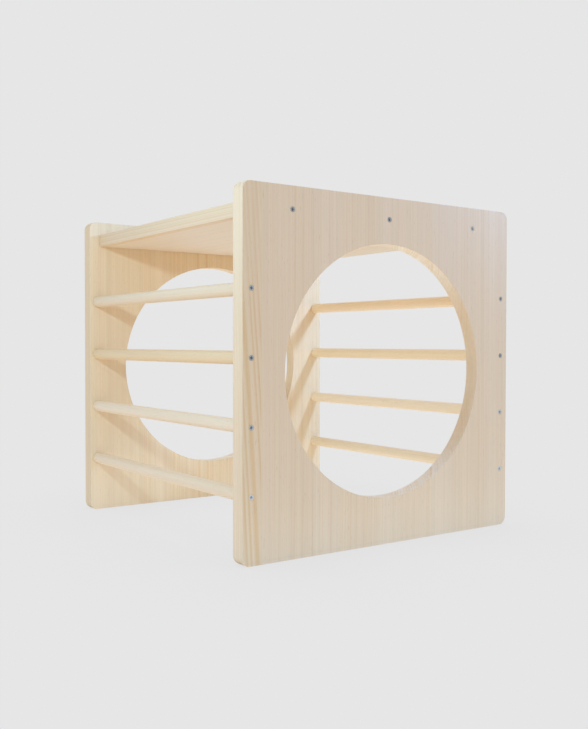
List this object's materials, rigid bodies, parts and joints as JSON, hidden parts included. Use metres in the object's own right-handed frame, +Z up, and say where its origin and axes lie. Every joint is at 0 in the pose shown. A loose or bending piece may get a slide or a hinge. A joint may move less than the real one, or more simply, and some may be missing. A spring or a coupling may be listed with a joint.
{
  "type": "climbing cube",
  "caption": "Child's wooden climbing cube: square front and rear panels with a large round crawl hole, joined by a recessed top board and by ladder rungs down both open sides.",
  "frame": {"origin": "middle of the footprint, on the floor that the two panels stand on", "axes": "+Y from the front panel to the rear panel, +X to the right for someone facing the front panel, +Z up"},
  "size_m": [0.6, 0.623, 0.6],
  "materials": {
    "board_pine": "glued pine board, sanded and clear varnished, satin",
    "rung_pine": "turned pine dowel, sanded and clear varnished, satin",
    "zinc_steel": "zinc-plated steel"
  },
  "bodies": {
    "root": {"front_panel": "board_pine", "rear_panel": "board_pine", "top_board": "board_pine", "left_rung_1": "rung_pine", "left_rung_2": "rung_pine", "left_rung_3": "rung_pine", "left_rung_4": "rung_pine", "right_rung_1": "rung_pine", "right_rung_2": "rung_pine", "right_rung_3": "rung_pine", "right_rung_4": "rung_pine", "front_left_rung_1_screw": "zinc_steel", "front_left_rung_2_screw": "zinc_steel", "front_left_rung_3_screw": "zinc_steel", "front_left_rung_4_screw": "zinc_steel", "front_right_rung_1_screw": "zinc_steel", "front_right_rung_2_screw": "zinc_steel", "front_right_rung_3_screw": "zinc_steel", "front_right_rung_4_screw": "zinc_steel", "front_board_left_screw": "zinc_steel", "front_board_middle_screw": "zinc_steel", "front_board_right_screw": "zinc_steel", "rear_left_rung_1_screw": "zinc_steel", "rear_left_rung_2_screw": "zinc_steel", "rear_left_rung_3_screw": "zinc_steel", "rear_left_rung_4_screw": "zinc_steel", "rear_right_rung_1_screw": "zinc_steel", "rear_right_rung_2_screw": "zinc_steel", "rear_right_rung_3_screw": "zinc_steel", "rear_right_rung_4_screw": "zinc_steel", "rear_board_left_screw": "zinc_steel", "rear_board_middle_screw": "zinc_steel", "rear_board_right_screw": "zinc_steel"}
  },
  "joints": []
}
